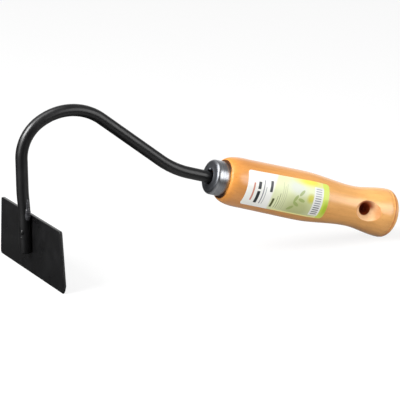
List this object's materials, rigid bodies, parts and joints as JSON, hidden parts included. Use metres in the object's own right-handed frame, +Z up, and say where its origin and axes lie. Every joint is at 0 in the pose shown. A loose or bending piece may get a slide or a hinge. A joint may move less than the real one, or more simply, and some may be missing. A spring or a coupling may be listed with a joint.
{
  "type": "hand hoe",
  "caption": "Short hand hoe: a flat trapezoid blade welded to a bent gooseneck bar, with a ferrule and a turned wooden handle that has a hang hole.",
  "frame": {"origin": "on the surface that the hoe rests on, under the middle of its bounding box", "axes": "+X from the blade towards the butt of the handle, +Y along the cutting edge, +Z up, as the hoe rests on its cutting edge and its butt"},
  "size_m": [0.2812, 0.1094, 0.1096],
  "materials": {
    "black_enamel": "black stoving enamel with a soft gloss",
    "polished_steel": "drawn and polished steel",
    "lacquered_wood": "clear lacquer over fine, pale beech",
    "printed_paper": "printed, glossy paper"
  },
  "bodies": {
    "root": {"blade": "black_enamel", "neck": "black_enamel", "side_weld": "black_enamel", "tack_weld": "black_enamel", "ferrule": "polished_steel", "handle": "lacquered_wood", "paper_label": "printed_paper"}
  },
  "joints": []
}
